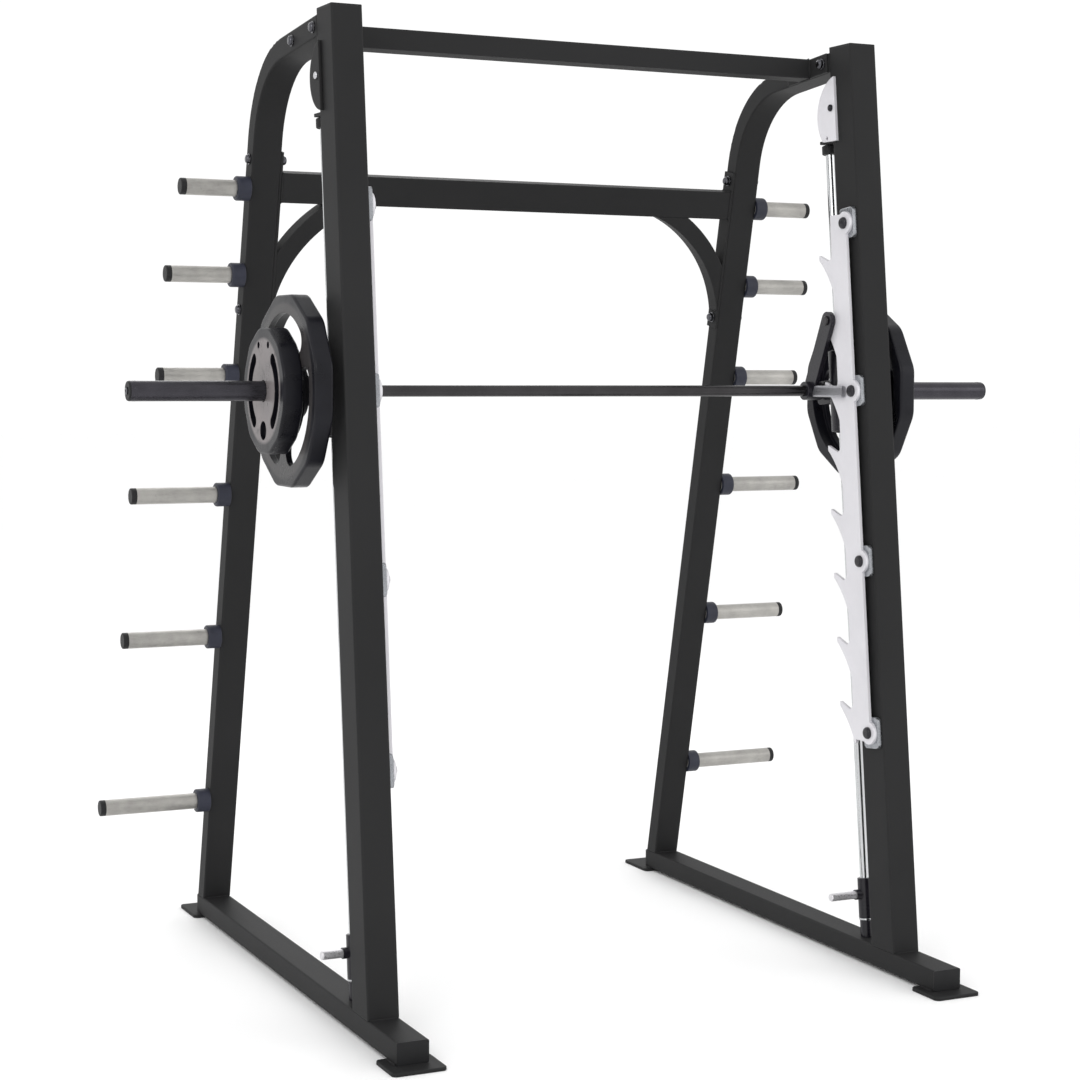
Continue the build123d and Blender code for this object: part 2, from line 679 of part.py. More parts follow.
with BuildPart() as horn_caps:
    for y, z, reach in horn_points:
        with BuildPart(mode=Mode.PRIVATE) as horn_cap:
            pegs_across([(y, z)], reach - HORN_CAP_LONG, HORN_CAP_LONG, HORN_R)
            fillet(horn_cap.faces().sort_by(Axis.X)[-1].edges(), 3)
            pegs_across([(y, z)], reach - 2 * HORN_CAP_LONG, HORN_CAP_LONG, HORN_R - WALL - PLUG_GAP)
        add(horn_cap.part)
save(with_mirror(horn_caps.part), "horn_caps")

# ---- carriages ----
with BuildPart() as carriage:
    with BuildSketch(rod_plane(BAR_Z).offset(-HOUSING_HALF)):
        Circle(HOUSING_R)
    extrude(amount=2 * HOUSING_HALF)
    fillet(carriage.edges().filter_by(GeomType.CIRCLE), 2)
    with BuildSketch(rod_plane(BAR_Z).offset(-BLOCK_HALF_TALL)):
        block_back = (BAR_BACK - ROD_BACK) * cos(radians(LEAN)) + BLOCK_REAR
        with Locations((0, block_back / 2)):
            Rectangle(2 * BLOCK_HALF_WIDE, block_back)
    extrude(amount=2 * BLOCK_HALF_TALL)
    fillet(carriage.edges().filter_by(Axis.X).sort_by(Axis.Y)[-2:], 14)
    with BuildSketch(rod_plane(BAR_Z).offset(-HOUSING_HALF)):
        Circle(ROD_R + RUN_GAP)
    extrude(amount=2 * HOUSING_HALF, mode=Mode.SUBTRACT)
    holes_across([bar_point], POST_IN, TUBE_WIDE, BAR_R + RUN_GAP)
save_pair(carriage.part, "carriage")

# ---- barbell ----
with BuildPart() as bar_shaft:
    pegs_across([bar_point], -BAR_END, 2 * BAR_END, BAR_R)
save(bar_shaft.part, "bar_shaft")

with BuildPart() as sleeve:
    pegs_across([bar_point], SLEEVE_START, BAR_END - SLEEVE_START, SLEEVE_R)
    holes_across([bar_point], SLEEVE_START, BAR_END - SLEEVE_START, BAR_R + SEAT_GAP)
save_pair(sleeve.part, "bar_sleeve")

with BuildPart() as sleeve_flanges:
    pegs_across([bar_point], FLANGE_START, SLEEVE_START - FLANGE_START, FLANGE_R)
    fillet(sleeve_flanges.edges().filter_by(GeomType.CIRCLE), 2)
    holes_across([bar_point], FLANGE_START, SLEEVE_START - FLANGE_START, BAR_R + SEAT_GAP)
save(with_mirror(sleeve_flanges.part), "sleeve_flanges")

with BuildPart() as sleeve_caps:
    pegs_across([bar_point], BAR_END, 4.5, SLEEVE_R - 1)
    fillet(sleeve_caps.faces().sort_by(Axis.X)[-1].edges(), 2)
save(with_mirror(sleeve_caps.part), "sleeve_caps")

with BuildPart() as catch_hubs:
    pegs_across([bar_point], HUB_IN, HUB_OUT - HUB_IN, HUB_R)
    fillet(catch_hubs.edges().filter_by(GeomType.CIRCLE), 1.5)
    holes_across([bar_point], HUB_IN, HUB_OUT - HUB_IN, BAR_R + SEAT_GAP)
save(with_mirror(catch_hubs.part), "catch_hubs")

pin_away = (pin_point[0] - bar_point[0], pin_point[1] - bar_point[1])
pin_reach = sqrt(pin_away[0] ** 2 + pin_away[1] ** 2)
pin_angle = degrees(atan(-pin_away[0] / pin_away[1]))
catch_place = Location((bar_point[0], bar_point[1], 0), (0, 0, pin_angle))
with BuildPart() as catch_arm:
    with BuildSketch(Plane.YZ.offset(ARM_IN)):
        with Locations(catch_place):
            with Locations((0, pin_reach / 2)):
                Rectangle(CATCH_WIDE, pin_reach)
            with Locations((0, pin_reach)):
                Circle(CATCH_WIDE / 2)
        with Locations(bar_point):
            Circle(HUB_R + SEAT_GAP, mode=Mode.SUBTRACT)
        with Locations(pin_point):
            Circle(PIN_R + SEAT_GAP, mode=Mode.SUBTRACT)
    extrude(amount=ARM_THICK)
save_pair(catch_arm.part, "catch_arm")

with BuildPart() as catch_pins:
    pegs_across([pin_point], ARM_IN, RACK_IN + RACK_THICK + 1 - ARM_IN, PIN_R)
    pegs_across([pin_point], ARM_IN - 6, 6, PIN_R + 4)
    fillet(catch_pins.faces().sort_by(Axis.X)[:1].edges(), 3)
save(with_mirror(catch_pins.part), "catch_pins")

with BuildPart() as forward_arm:
    with BuildSketch(Plane.YZ.offset(ARM_IN)):
        with Locations((bar_point[0] - FORWARD_REACH / 2, bar_point[1])):
            Rectangle(FORWARD_REACH, FORWARD_TALL)
        with Locations(bar_point):
            Circle(HUB_R + SEAT_GAP, mode=Mode.SUBTRACT)
        with Locations(catch_place):
            with Locations((0, pin_reach / 2)):
                Rectangle(CATCH_WIDE, pin_reach, mode=Mode.SUBTRACT)
        with Locations((bar_point[0] + 60, bar_point[1])):
            Rectangle(120, 60, mode=Mode.SUBTRACT)
    extrude(amount=ARM_THICK)
    fillet(forward_arm.edges().filter_by(Axis.Y), FORWARD_ROUND)
save_pair(forward_arm.part, "forward_arm")


# ---- safety stops: both pegs point to the machine's left at rest ----
def stop_parts(side, tip):
    """Washer, barrel and peg on one rod; tip is the X of the peg's end."""
    name = "right" if side > 0 else "left"
    axis_x = side * POST_MID
    level = cos(radians(LEAN))

    def across(z):
        return Plane(origin=(axis_x, behind_post(ROD_BACK, z), z), x_dir=(1, 0, 0), z_dir=lean_up)

    with BuildPart() as washer:
        with BuildSketch(across(ROD_FOOT_TOP + 2)):
            Circle(STOP_R)
            Circle(ROD_R + RUN_GAP, mode=Mode.SUBTRACT)
        extrude(amount=3.5)
    save(washer.part, f"stop_washer_{name}")

    peg_mid = (behind_post(ROD_BACK, PEG_Z), PEG_Z)
    with BuildPart() as barrel:
        with BuildSketch(across(STOP_LOW)):
            Circle(STOP_R)
        extrude(amount=(STOP_TOP - STOP_LOW) / level)
        fillet(barrel.edges().filter_by(GeomType.CIRCLE), 1.5)
        with BuildSketch(across(STOP_LOW)):
            Circle(ROD_R + RUN_GAP)
        extrude(amount=(STOP_TOP - STOP_LOW) / level, mode=Mode.SUBTRACT)
        with BuildSketch(Plane.YZ.offset(axis_x - STOP_R - PEG_BOSS_LONG)):
            with Locations(peg_mid):
                Circle(PEG_BOSS_R)
        extrude(amount=PEG_BOSS_LONG + 4)
        with BuildSketch(Plane.YZ.offset(axis_x - STOP_R - PEG_BOSS_LONG)):
            with Locations(peg_mid):
                Circle(PEG_R + SEAT_GAP)
        extrude(amount=PEG_BOSS_LONG + 4, mode=Mode.SUBTRACT)
    save(barrel.part, f"stop_barrel_{name}")

    with BuildPart() as peg:
        with BuildSketch(Plane.YZ.offset(axis_x - STOP_R + 4)):
            with Locations(peg_mid):
                Circle(PEG_R)
        extrude(amount=tip - (axis_x - STOP_R + 4))
        fillet(peg.faces().sort_by(Axis.X)[0].edges(), PEG_ROUND)
    save(peg.part, f"stop_peg_{name}")


stop_parts(1, PEG_TIP_RIGHT)
stop_parts(-1, PEG_TIP_LEFT)


# ---- weight plates ----
GRIP_MID = 150.0           # grip opening: centre line radius, half width and half angle
GRIP_HALF = 32.0
GRIP_SPAN = 40.0
GRIP_ANGLES = (90, 210, 330)
LARGE_RIM = 30.0
LARGE_HUB_R = 62.0
LARGE_WEB = 14.0
PLATE_CORNER = 60.0        # the twelve corners are well rounded
PLATE_EDGE = 6.0
bar_y, bar_z = bar_point


def ring_slot(radius, half_wide, span, angle):
    """Curved slot about the bar axis, drawn in (y, z)."""
    inner = radius - half_wide
    outer = radius + half_wide

    def at(r, a):
        return (bar_y + r * cos(radians(a)), bar_z + r * sin(radians(a)))

    with BuildSketch() as slot:
        with BuildLine():
            ThreePointArc(at(inner, angle - span), at(inner, angle), at(inner, angle + span))
            ThreePointArc(at(outer, angle - span), at(outer, angle), at(outer, angle + span))
            for end, out in ((angle - span, -90), (angle + span, 90)):
                middle = at(radius, end)
                bulge = (
                    middle[0] + half_wide * cos(radians(end + out)),
                    middle[1] + half_wide * sin(radians(end + out)),
                )
                ThreePointArc(at(inner, end), bulge, at(outer, end))
        make_face()
    return slot.sketch


with BuildPart() as large_plate:
    with BuildSketch(Plane.YZ.offset(LARGE_IN)):
        with Locations(bar_point):
            RegularPolygon(LARGE_R, 12, major_radius=False, rotation=15)
    extrude(amount=LARGE_THICK)
    fillet(large_plate.edges().filter_by(Axis.X), PLATE_CORNER)
    fillet(large_plate.edges().filter_by(Axis.X, reverse=True), PLATE_EDGE)
    with BuildSketch(Plane.YZ.offset(LARGE_IN)):
        with Locations(bar_point):
            Circle(LARGE_R - LARGE_RIM)
            Circle(LARGE_HUB_R, mode=Mode.SUBTRACT)
    extrude(amount=LARGE_THICK - LARGE_WEB, mode=Mode.SUBTRACT)
    with BuildSketch(Plane.YZ.offset(LARGE_IN)):
        for angle in GRIP_ANGLES:
            add(ring_slot(GRIP_MID, GRIP_HALF, GRIP_SPAN, angle))
    extrude(amount=LARGE_THICK, mode=Mode.SUBTRACT)
    holes_across([bar_point], LARGE_IN, LARGE_THICK, PLATE_BORE_R)
save_pair(large_plate.part, "large_plate")

SMALL_RIM = 22.0
SMALL_HUB_R = 44.0
SMALL_RECESS = 12.0
SMALL_BACK_RECESS = 28.0
POCKET_MID = 98.0          # curved pocket: centre line radius, half width and half angle
POCKET_HALF = 15.0
POCKET_SPAN = 22.0
POCKET_ANGLES = (25, 155, 205, 335)
ROUND_POCKET_R = 22.0
ROUND_POCKET_DROP = 92.0
NOTCH_R = 8.0
NOTCH_MID = 112.0
NOTCH_ANGLES = (72, 108)
notch_points = [
    (bar_y + NOTCH_MID * cos(radians(a)), bar_z + NOTCH_MID * sin(radians(a)))
    for a in NOTCH_ANGLES
]
with BuildPart() as small_plate:
    with BuildSketch(Plane.YZ.offset(SMALL_IN)):
        with Locations(bar_point):
            RegularPolygon(SMALL_R, 12, major_radius=False, rotation=15)
    extrude(amount=SMALL_THICK)
    fillet(small_plate.edges().filter_by(Axis.X), PLATE_CORNER)
    fillet(small_plate.edges().filter_by(Axis.X, reverse=True), PLATE_EDGE)
    with BuildSketch(Plane.YZ.offset(SMALL_IN + SMALL_THICK)):
        for angle in POCKET_ANGLES:
            add(ring_slot(POCKET_MID, POCKET_HALF, POCKET_SPAN, angle))
        with Locations((bar_y, bar_z - ROUND_POCKET_DROP)):
            Circle(ROUND_POCKET_R)
        with Locations(*notch_points):
            Circle(NOTCH_R)
    extrude(amount=-SMALL_RECESS, mode=Mode.SUBTRACT)
    with BuildSketch(Plane.YZ.offset(SMALL_IN)):
        with Locations(bar_point):
            Circle(SMALL_R - SMALL_RIM)
            Circle(SMALL_HUB_R, mode=Mode.SUBTRACT)
    extrude(amount=SMALL_BACK_RECESS, mode=Mode.SUBTRACT)
    holes_across([bar_point], SMALL_IN, SMALL_THICK, PLATE_BORE_R)
save_pair(small_plate.part, "small_plate")
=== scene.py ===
import json
import math

import bmesh
import bpy
from mathutils import Matrix, Vector


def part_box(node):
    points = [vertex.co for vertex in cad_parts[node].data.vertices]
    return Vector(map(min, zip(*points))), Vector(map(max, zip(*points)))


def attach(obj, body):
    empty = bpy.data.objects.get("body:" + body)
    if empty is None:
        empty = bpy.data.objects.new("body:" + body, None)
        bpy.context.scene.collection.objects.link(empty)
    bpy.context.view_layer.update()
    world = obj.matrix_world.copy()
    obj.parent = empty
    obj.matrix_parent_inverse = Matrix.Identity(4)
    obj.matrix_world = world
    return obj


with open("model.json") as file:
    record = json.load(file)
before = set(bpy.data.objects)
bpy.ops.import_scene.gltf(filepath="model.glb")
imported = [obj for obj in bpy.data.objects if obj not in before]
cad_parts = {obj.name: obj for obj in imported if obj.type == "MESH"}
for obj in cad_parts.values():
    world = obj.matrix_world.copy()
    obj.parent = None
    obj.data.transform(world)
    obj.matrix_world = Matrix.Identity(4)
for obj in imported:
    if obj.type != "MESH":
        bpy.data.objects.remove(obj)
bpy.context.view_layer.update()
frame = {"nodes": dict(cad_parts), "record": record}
MM = 0.001
SIDES = (("left", -1), ("right", 1))
joints = {joint["name"]: joint for joint in frame["record"]["behaviour"]["joints"]}
bar_centre = Vector(joints["bar_turn"]["pos_m"])
lean_up = Vector(joints["bar_lift"]["axis"]).normalized()


# ---------- node helpers ----------
def new_material(name):
    """A material with one shader, and the handles its maker needs."""
    mat = bpy.data.materials.new(name)
    mat.use_nodes = True
    nodes = mat.node_tree.nodes
    nodes.clear()
    out = nodes.new("ShaderNodeOutputMaterial")
    shader = nodes.new("ShaderNodeBsdfPrincipled")
    mat.node_tree.links.new(shader.outputs[0], out.inputs[0])
    return mat, nodes, mat.node_tree.links, shader


def noise(nodes, links, scale, detail=4.0, rough=0.55, stretch=None):
    """Noise in object space; scale is waves per metre."""
    coord = nodes.new("ShaderNodeTexCoord")
    source = coord.outputs["Object"]
    if stretch:
        mapping = nodes.new("ShaderNodeMapping")
        mapping.inputs["Scale"].default_value = stretch
        links.new(source, mapping.inputs["Vector"])
        source = mapping.outputs[0]
    tex = nodes.new("ShaderNodeTexNoise")
    tex.inputs["Scale"].default_value = scale
    tex.inputs["Detail"].default_value = detail
    tex.inputs["Roughness"].default_value = rough
    links.new(source, tex.inputs["Vector"])
    return tex.outputs[0]


def remap(nodes, links, source, low, high, to_low, to_high):
    """Scale a value from the range low..high to the range to_low..to_high."""
    node = nodes.new("ShaderNodeMapRange")
    node.inputs["From Min"].default_value = low
    node.inputs["From Max"].default_value = high
    node.inputs["To Min"].default_value = to_low
    node.inputs["To Max"].default_value = to_high
    links.new(source, node.inputs["Value"])
    return node.outputs[0]


def mix(nodes, links, factor, a, b):
    """Colour mix; a and b are colours or sockets."""
    node = nodes.new("ShaderNodeMix")
    node.data_type = "RGBA"
    if isinstance(factor, float):
        node.inputs[0].default_value = factor
    else:
        links.new(factor, node.inputs[0])
    for value, socket in ((a, node.inputs[6]), (b, node.inputs[7])):
        if isinstance(value, tuple):
            socket.default_value = (*value, 1.0)
        else:
            links.new(value, socket)
    return node.outputs[2]


def maths(nodes, links, operation, a, b=None, clamp=False):
    """One sum on numbers or sockets."""
    node = nodes.new("ShaderNodeMath")
    node.operation = operation
    node.use_clamp = clamp
    for value, socket in ((a, node.inputs[0]), (b, node.inputs[1])):
        if value is None:
            continue
        if isinstance(value, (int, float)):
            socket.default_value = value
        else:
            links.new(value, socket)
    return node.outputs[0]


def object_axes(nodes, links, output="Object"):
    """X, Y and Z sockets of the object's own coordinates or normal."""
    coord = nodes.new("ShaderNodeTexCoord")
    split = nodes.new("ShaderNodeSeparateXYZ")
    links.new(coord.outputs[output], split.inputs[0])
    return split.outputs


def edge_mask(nodes, links, radius, gain):
    """1 on sharp edges, 0 on flat faces, from a bevelled normal; and that normal."""
    bevel = nodes.new("ShaderNodeBevel")
    bevel.samples = 4
    bevel.inputs["Radius"].default_value = radius
    geometry = nodes.new("ShaderNodeNewGeometry")
    dot = nodes.new("ShaderNodeVectorMath")
    dot.operation = "DOT_PRODUCT"
    links.new(bevel.outputs[0], dot.inputs[0])
    links.new(geometry.outputs["Normal"], dot.inputs[1])
    away = maths(nodes, links, "SUBTRACT", 1.0, dot.outputs["Value"])
    return maths(nodes, links, "MULTIPLY", away, gain, clamp=True), bevel.outputs[0]


def bump(nodes, links, height, strength, distance, normal=None):
    """Bumped normal from a height socket; distance is in metres."""
    node = nodes.new("ShaderNodeBump")
    node.inputs["Strength"].default_value = strength
    node.inputs["Distance"].default_value = distance
    links.new(height, node.inputs["Height"])
    if normal is not None:
        links.new(normal, node.inputs["Normal"])
    return node.outputs[0]


def surface(
    name,
    colour,
    vary=0.12,
    metallic=0.0,
    roughness=(0.35, 0.5),
    cloud=6.0,
    grain=900.0,
    grain_strength=0.15,
    edge=None,
    edge_gain=2.0,
    edge_radius=0.003,
    stretch=None,
    speckle=0.0,
    coat=0.0,
    specular=0.5,
):
    """Paint, plating, rubber or plastic with broad tone changes, fine grain and a painted
    highlight along its edges.
    """
    mat, nodes, links, shader = new_material(name)
    broad = noise(nodes, links, cloud, 5.0, 0.6)
    fine = noise(nodes, links, grain, 2.0, 0.5, stretch)
    dark = tuple(c * (1 - vary) for c in colour)
    light = tuple(min(1.0, c * (1 + vary)) for c in colour)
    tone = mix(nodes, links, remap(nodes, links, broad, 0.3, 0.7, 0.0, 1.0), dark, light)
    tone = mix(nodes, links, remap(nodes, links, fine, 0.35, 0.65, 0.0, 0.35), tone, light)
    if speckle:
        spots = noise(nodes, links, grain * 0.25, 3.0, 0.7)
        spots = remap(nodes, links, spots, 0.62, 0.72, 0.0, speckle)
        tone = mix(nodes, links, spots, tone, dark)
    mask, soft_normal = edge_mask(nodes, links, edge_radius, edge_gain)
    # the edge colour, lighter than the base, is a painted highlight along corners and edges,
    # made patchy by the broad noise
    if edge is not None:
        edge_highlight = maths(
            nodes, links, "MULTIPLY", mask, remap(nodes, links, broad, 0.25, 0.75, 0.55, 1.0)
        )
        tone = mix(nodes, links, edge_highlight, tone, edge)
    links.new(tone, shader.inputs["Base Color"])
    shader.inputs["Metallic"].default_value = metallic
    links.new(
        remap(nodes, links, fine, 0.3, 0.7, roughness[0], roughness[1]),
        shader.inputs["Roughness"],
    )
    shader.inputs["Coat Weight"].default_value = coat
    shader.inputs["Specular IOR Level"].default_value = specular
    links.new(
        bump(nodes, links, fine, grain_strength, 0.0004, soft_normal), shader.inputs["Normal"]
    )
    return mat


# ---------- materials ----------
# each material's edge colour is lighter than its base: a painted highlight along its corners and
# edges
materials = {
    "frame_paint": surface(
        "frame_paint", (0.0205, 0.0205, 0.0210), vary=0.12, roughness=(0.48, 0.62),
        cloud=2.2, grain=1100.0, grain_strength=0.10, speckle=0.2, specular=0.10,
        edge=(0.062, 0.062, 0.063), edge_radius=0.006, edge_gain=1.8,
    ),
    "light_paint": surface(
        "light_paint", (0.68, 0.67, 0.70), vary=0.07, metallic=0.15, roughness=(0.32, 0.5),
        cloud=5.0, grain=900.0, grain_strength=0.08, speckle=0.25,
        edge=(0.90, 0.90, 0.93), edge_radius=0.002, edge_gain=2.5,
    ),
    "lug_metal": surface(
        "lug_metal", (0.30, 0.31, 0.33), vary=0.20, metallic=0.8, roughness=(0.18, 0.36),
        cloud=40.0, grain=500.0, grain_strength=0.12, stretch=(1.0, 1.0, 0.2),
        edge=(0.55, 0.56, 0.58), edge_radius=0.004,
    ),
    "black_paint": surface(
        "black_paint", (0.010, 0.009, 0.013), vary=0.25, roughness=(0.20, 0.36),
        cloud=7.0, grain=1000.0, grain_strength=0.12, coat=0.1, specular=0.35,
        edge=(0.04, 0.04, 0.045), edge_radius=0.002, edge_gain=1.5,
    ),
    "sleeve_metal": surface(
        "sleeve_metal", (0.050, 0.048, 0.056), vary=0.15, metallic=0.9, roughness=(0.22, 0.38),
        cloud=20.0, grain=500.0, grain_strength=0.10, stretch=(0.08, 1.0, 1.0),
        edge=(0.12, 0.12, 0.13), edge_radius=0.002, edge_gain=1.5,
    ),
    "bar_metal": surface(
        "bar_metal", (0.048, 0.046, 0.048), vary=0.18, metallic=0.9, roughness=(0.16, 0.30),
        cloud=12.0, grain=900.0, grain_strength=0.14, stretch=(0.5, 1.0, 1.0),
        edge=(0.12, 0.12, 0.13), edge_radius=0.001,
    ),
    "arm_metal": surface(
        "arm_metal", (0.34, 0.34, 0.36), vary=0.12, metallic=0.85, roughness=(0.26, 0.42),
        cloud=20.0, grain=600.0, grain_strength=0.10, stretch=(1.0, 0.2, 1.0),
        edge=(0.5, 0.5, 0.52), edge_radius=0.002,
    ),
    "galvanised": surface(
        "galvanised", (0.36, 0.35, 0.33), vary=0.24, metallic=0.6, roughness=(0.32, 0.52),
        cloud=16.0, grain=260.0, grain_strength=0.24, stretch=(0.25, 1.0, 1.0), speckle=0.4,
        edge=(0.5, 0.49, 0.46),
    ),
    "rod_chrome": surface(
        "rod_chrome", (0.60, 0.61, 0.62), vary=0.06, metallic=1.0, roughness=(0.07, 0.18),
        cloud=4.0, grain=500.0, grain_strength=0.04, stretch=(1.0, 1.0, 0.06),
    ),
    "peg_metal": surface(
        "peg_metal", (0.68, 0.67, 0.69), vary=0.10, metallic=0.75, roughness=(0.24, 0.40),
        cloud=25.0, grain=500.0, grain_strength=0.08, stretch=(0.3, 1.0, 1.0),
        edge=(0.85, 0.85, 0.86), edge_radius=0.002,
    ),
    "bolt_chrome": surface(
        "bolt_chrome", (0.09, 0.09, 0.10), vary=0.15, metallic=1.0, roughness=(0.10, 0.22),
        cloud=30.0, grain=700.0, grain_strength=0.08,
        edge=(0.35, 0.35, 0.36), edge_radius=0.001,
    ),
    "bright_bolt": surface(
        "bright_bolt", (0.55, 0.55, 0.57), vary=0.10, metallic=1.0, roughness=(0.14, 0.3),
        cloud=30.0, grain=700.0, grain_strength=0.08,
        edge=(0.8, 0.8, 0.8), edge_radius=0.001,
    ),
    "black_plastic": surface(
        "black_plastic", (0.012, 0.012, 0.013), vary=0.2, roughness=(0.45, 0.62),
        cloud=12.0, grain=1400.0, grain_strength=0.3, specular=0.25,
        edge=(0.03, 0.03, 0.03), edge_radius=0.0015,
    ),
    "collar_rubber": surface(
        "collar_rubber", (0.020, 0.022, 0.036), vary=0.25, roughness=(0.42, 0.6),
        cloud=15.0, grain=800.0, grain_strength=0.35, specular=0.35,
        edge=(0.07, 0.07, 0.09), edge_radius=0.003,
    ),
}
# nodes whose finish differs from the rest of their slot
finish_of = {
    "bar_shaft": "bar_metal",
    "bar_sleeve_left": "sleeve_metal",
    "bar_sleeve_right": "sleeve_metal",
    "catch_pins": "bar_metal",
    "forward_arm_left": "arm_metal",
    "forward_arm_right": "arm_metal",
    "stop_peg_left": "peg_metal",
    "stop_peg_right": "peg_metal",
    "rack_lugs": "lug_metal",
    "gusset_bolts": "bright_bolt",
}


def darken_inside(mat, limit, colour):
    """Give the parts of a node nearer the centre plane than limit a darker colour."""
    nodes, links = mat.node_tree.nodes, mat.node_tree.links
    shader = next(n for n in nodes if n.type == "BSDF_PRINCIPLED")
    was = shader.inputs["Base Color"].links[0].from_socket
    away = maths(nodes, links, "ABSOLUTE", object_axes(nodes, links)[0])
    mask = remap(nodes, links, away, limit - MM, limit + MM, 1.0, 0.0)
    links.new(mix(nodes, links, mask, was, colour), shader.inputs["Base Color"])


# the gusset bolts are dark on the posts' inner faces and bright on the outer ones
post_inner_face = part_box("front_post_right")[0][0]
darken_inside(materials["bright_bolt"], post_inner_face + 20 * MM, (0.03, 0.03, 0.035))


def plate_material(name, outer_face, pale_low, pale_high, pale_radius):
    """Black glossy plate; its outer face, inside a radius of the bar, has a paler paint rubbed
    through in patches, and its edges a painted highlight.
    """
    mat, nodes, links, shader = new_material(name)
    broad = noise(nodes, links, scale=9.0, detail=5.0, rough=0.6)
    fine = noise(nodes, links, scale=700.0, detail=3.0, rough=0.6)
    wear = noise(nodes, links, scale=45.0, detail=5.0, rough=0.7)
    cloud = remap(nodes, links, broad, 0.3, 0.7, 0.0, 1.0)
    black = mix(nodes, links, cloud, (0.004, 0.004, 0.006), (0.009, 0.009, 0.013))
    pale = mix(nodes, links, cloud, pale_low, pale_high)
    x, y, z = object_axes(nodes, links)
    over_y = maths(nodes, links, "SUBTRACT", y, bar_centre.y)
    over_z = maths(nodes, links, "SUBTRACT", z, bar_centre.z)
    square = maths(
        nodes, links, "ADD",
        maths(nodes, links, "MULTIPLY", over_y, over_y),
        maths(nodes, links, "MULTIPLY", over_z, over_z),
    )
    out = maths(nodes, links, "SQRT", square)
    soft = 4 * MM
    inside = remap(nodes, links, out, pale_radius - soft, pale_radius + soft, 1.0, 0.0)
    facing = maths(nodes, links, "ABSOLUTE", object_axes(nodes, links, "Normal")[0])
    flat = remap(nodes, links, facing, 0.85, 0.95, 0.0, 1.0)
    depth = maths(nodes, links, "ABSOLUTE", x)
    high = remap(nodes, links, depth, outer_face - 2 * MM, outer_face - MM, 0.0, 1.0)
    rubbed = remap(nodes, links, wear, 0.30, 0.45, 0.45, 1.0)
    painted = flat
    for factor in (high, inside, rubbed):
        painted = maths(nodes, links, "MULTIPLY", painted, factor, clamp=True)
    mask, soft_normal = edge_mask(nodes, links, radius=0.003, gain=1.6)
    tone = mix(nodes, links, painted, black, pale)
    # the lighter grey on the edges is a painted highlight
    edge_highlight = maths(nodes, links, "MULTIPLY", mask, 0.5)
    links.new(mix(nodes, links, edge_highlight, tone, (0.05, 0.05, 0.06)), shader.inputs["Base Color"])
    links.new(remap(nodes, links, broad, 0.3, 0.7, 0.22, 0.42), shader.inputs["Roughness"])
    shader.inputs["Specular IOR Level"].default_value = 0.2
    links.new(
        bump(nodes, links, fine, strength=0.25, distance=0.0005, normal=soft_normal),
        shader.inputs["Normal"],
    )
    return mat


plate_iron = {
    "large_plate": plate_material(
        "large_plate_iron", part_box("large_plate_right")[1][0],
        pale_low=(0.020, 0.019, 0.020), pale_high=(0.062, 0.057, 0.058), pale_radius=0.205,
    ),
    "small_plate": plate_material(
        "small_plate_iron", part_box("small_plate_right")[1][0],
        pale_low=(0.13, 0.118, 0.12), pale_high=(0.24, 0.215, 0.215), pale_radius=0.122,
    ),
}
slot_of = {part["node"]: part["material_slot"] for part in frame["record"]["subparts"]}
for node, obj in frame["nodes"].items():
    finish = finish_of.get(node, slot_of[node])
    mat = materials.get(finish) or plate_iron[node.rsplit("_", 1)[0]]
    obj.data.materials.clear()
    obj.data.materials.append(mat)


# ---------- small modelled details ----------
def corners(points):
    """Lowest and highest corners of the box around some points."""
    low = Vector([min(p[i] for p in points) for i in range(3)])
    high = Vector([max(p[i] for p in points) for i in range(3)])
    return low, high


def section(node, axis, value):
    """Lowest and highest corners of the outline a plane cuts from a node."""
    mesh = frame["nodes"][node].data
    points = []
    for edge in mesh.edges:
        a, b = (mesh.vertices[i].co for i in edge.vertices)
        if (a[axis] - value) * (b[axis] - value) < 0:
            points.append(a.lerp(b, (value - a[axis]) / (b[axis] - a[axis])))
    return corners(points)


def add_piece(name, bm, body, mat, smooth=True):
    """Turn a bmesh into a piece that rides on a body and takes a slot."""
    mesh = bpy.data.meshes.new(name)
    bm.to_mesh(mesh)
    bm.free()
    for face in mesh.polygons:
        face.use_smooth = smooth
    obj = bpy.data.objects.new(name, mesh)
    bpy.context.collection.objects.link(obj)
    obj.data.materials.append(mat)
    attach(obj, body)
    return obj


def spaced(points, step, closed):
    """Points about one step apart along a path."""
    if closed:
        points = points + points[:1]
    out = []
    for a, b in zip(points, points[1:]):
        count = max(1, round((b - a).length / step))
        out += [a.lerp(b, i / count) for i in range(count)]
    if not closed:
        out.append(points[-1])
    return out


